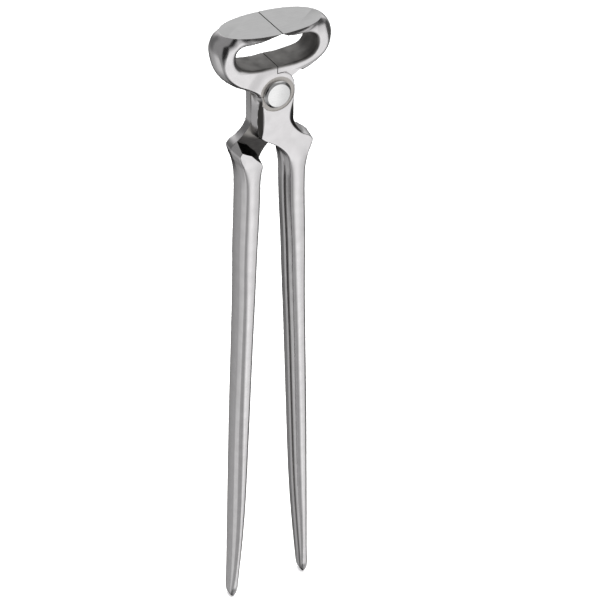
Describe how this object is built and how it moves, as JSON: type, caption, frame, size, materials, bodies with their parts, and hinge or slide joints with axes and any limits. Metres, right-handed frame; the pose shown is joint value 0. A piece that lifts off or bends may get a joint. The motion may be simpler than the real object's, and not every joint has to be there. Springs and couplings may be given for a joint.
{
  "type": "hoof nipper",
  "caption": "Long-handled farrier's nipper: two crossed forged halves on one rivet, with a wide oval throat and flat-ground jaws that meet in a straight cutting edge.",
  "frame": {"origin": "on the rivet axis, in the joint plane where the two halves' cheeks meet", "axes": "+Z from the rivet up to the jaws, +X towards the right jaw, -Y towards the factory rivet head"},
  "size_m": [0.0622, 0.0256, 0.3556],
  "materials": {
    "forged_halves": "polished and chrome-plated drop-forged steel, satin-ground on the jaw flats",
    "rivet": "polished steel rivet"
  },
  "bodies": {
    "front_body": {"front_half": "forged_halves", "pivot_rivet": "rivet"},
    "rear_body": {"rear_half": "forged_halves"}
  },
  "joints": [
    {"name": "jaw_pivot", "type": "hinge", "parent": "front_body", "child": "rear_body", "pos_m": [0, 0, 0], "axis": [0, 1, 0], "range_deg": [0, 42]}
  ]
}
